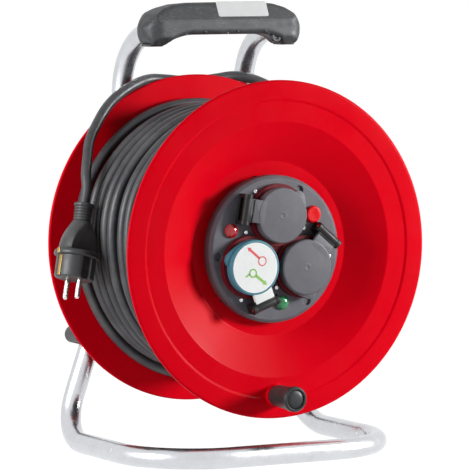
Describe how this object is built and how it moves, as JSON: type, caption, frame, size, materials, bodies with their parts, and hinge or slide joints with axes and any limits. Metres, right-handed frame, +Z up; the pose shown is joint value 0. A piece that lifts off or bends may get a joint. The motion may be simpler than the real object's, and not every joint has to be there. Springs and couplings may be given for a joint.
{
  "type": "extension cord reel",
  "caption": "Cable reel on a bent steel tube stand: a red plastic drum with lidded mains sockets in its hub, a crank knob, and a wound rubber cord that ends in a plug.",
  "frame": {"origin": "on the floor, below the middle of the stand and drum", "axes": "-Y towards the socket side, +Z up, +X to the right as seen from the socket side"},
  "size_m": [0.3374, 0.2445, 0.4341],
  "materials": {
    "tube_steel": "hot galvanised, satin",
    "zinc_steel": "zinc plated",
    "dark_steel": "blackened",
    "grip_plastic": "textured dark grey",
    "label_white": "plain white plate, bare",
    "carrier_plastic": "dark grey, glass filled",
    "drum_red": "glossy signal red",
    "inner_plastic": "black",
    "bush_plastic": "natural nylon",
    "panel_grey": "fine texture",
    "insert_red": "dark red",
    "well_black": "black",
    "contact_brass": "plain brass",
    "hinge_black": "black",
    "lid_grey": "fine texture",
    "lid_blue": "dark blue-green with a plain white disc",
    "seal_rubber": "black",
    "lens_red": "clear red lens",
    "lens_green": "clear green lens",
    "button_red": "glossy",
    "knob_black": "black",
    "cord_rubber": "black rubber sheath",
    "plug_rubber": "black rubber",
    "pin_nickel": "nickel plated"
  },
  "bodies": {
    "frame": {"tube_frame": "tube_steel", "tube_spigot": "zinc_steel", "grip_upper": "grip_plastic", "grip_lower": "grip_plastic", "grip_screws": "dark_steel", "label_plate": "label_white", "axle_carrier": "carrier_plastic", "clamp_bar_upper": "carrier_plastic", "clamp_bar_lower": "carrier_plastic", "clamp_bolts": "zinc_steel", "clamp_nuts": "zinc_steel", "axle": "zinc_steel", "axle_nut": "zinc_steel", "axle_washer": "zinc_steel", "axle_retainer": "dark_steel"},
    "drum": {"front_flange": "drum_red", "rear_flange": "drum_red", "barrel": "drum_red", "drum_bolts": "zinc_steel", "bearing_tube": "inner_plastic", "bush_front": "bush_plastic", "bush_rear": "bush_plastic", "hub_panel": "panel_grey", "panel_screws": "zinc_steel", "socket_insert": "insert_red", "socket_well_1": "well_black", "socket_well_2": "well_black", "socket_well_3": "well_black", "pin_sleeves": "contact_brass", "earth_clips": "contact_brass", "hinge_blocks": "hinge_black", "lid_pin_1": "zinc_steel", "lid_pin_2": "zinc_steel", "lid_pin_3": "zinc_steel", "lamp_red": "lens_red", "lamp_green": "lens_green", "cutout_body": "inner_plastic", "terminal_block": "bush_plastic", "cable_gland": "inner_plastic", "crank_pin": "zinc_steel", "cord_core": "cord_rubber", "cord_winding": "cord_rubber", "cord_tail": "cord_rubber", "plug_body": "plug_rubber", "plug_relief": "plug_rubber", "plug_pins": "pin_nickel", "plug_earth": "contact_brass"},
    "lid_1": {"lid_1": "lid_grey", "lid_seal_1": "seal_rubber"},
    "lid_2": {"lid_2": "lid_grey", "lid_seal_2": "seal_rubber"},
    "lid_3": {"lid_3": "lid_blue", "lid_seal_3": "seal_rubber"},
    "reset_button": {"reset_button": "button_red"},
    "crank_knob": {"crank_knob": "knob_black", "knob_cap": "knob_black"}
  },
  "joints": [
    {"name": "drum_spin", "type": "hinge", "parent": "frame", "child": "drum", "pos_m": [0, 0.00025, 0.202], "axis": [0, -1, 0], "continuous": true},
    {"name": "crank_spin", "type": "hinge", "parent": "drum", "child": "crank_knob", "pos_m": [-0.00241, -0.10375, 0.06402], "axis": [0, -1, 0], "continuous": true},
    {"name": "lid_1_hinge", "type": "hinge", "parent": "drum", "child": "lid_1", "pos_m": [-0.03628, -0.08625, 0.24128], "axis": [-0.1736, 0, -0.9848], "range_deg": [0, 110], "stiffness_Nm_per_rad": 0.04, "springref_deg": -34.38},
    {"name": "lid_2_hinge", "type": "hinge", "parent": "drum", "child": "lid_2", "pos_m": [0.05216, -0.08625, 0.21378], "axis": [-0.766, 0, 0.6428], "range_deg": [0, 110], "stiffness_Nm_per_rad": 0.04, "springref_deg": -34.38},
    {"name": "lid_3_hinge", "type": "hinge", "parent": "drum", "child": "lid_3", "pos_m": [-0.01588, -0.08625, 0.15094], "axis": [0.9397, 0, 0.342], "range_deg": [0, 110], "stiffness_Nm_per_rad": 0.04, "springref_deg": -34.38},
    {"name": "reset_press", "type": "slide", "parent": "drum", "child": "reset_button", "axis": [0, 1, 0], "range_m": [0, 0.0025], "stiffness_N_per_m": 200, "springref_m": -0.002}
  ]
}
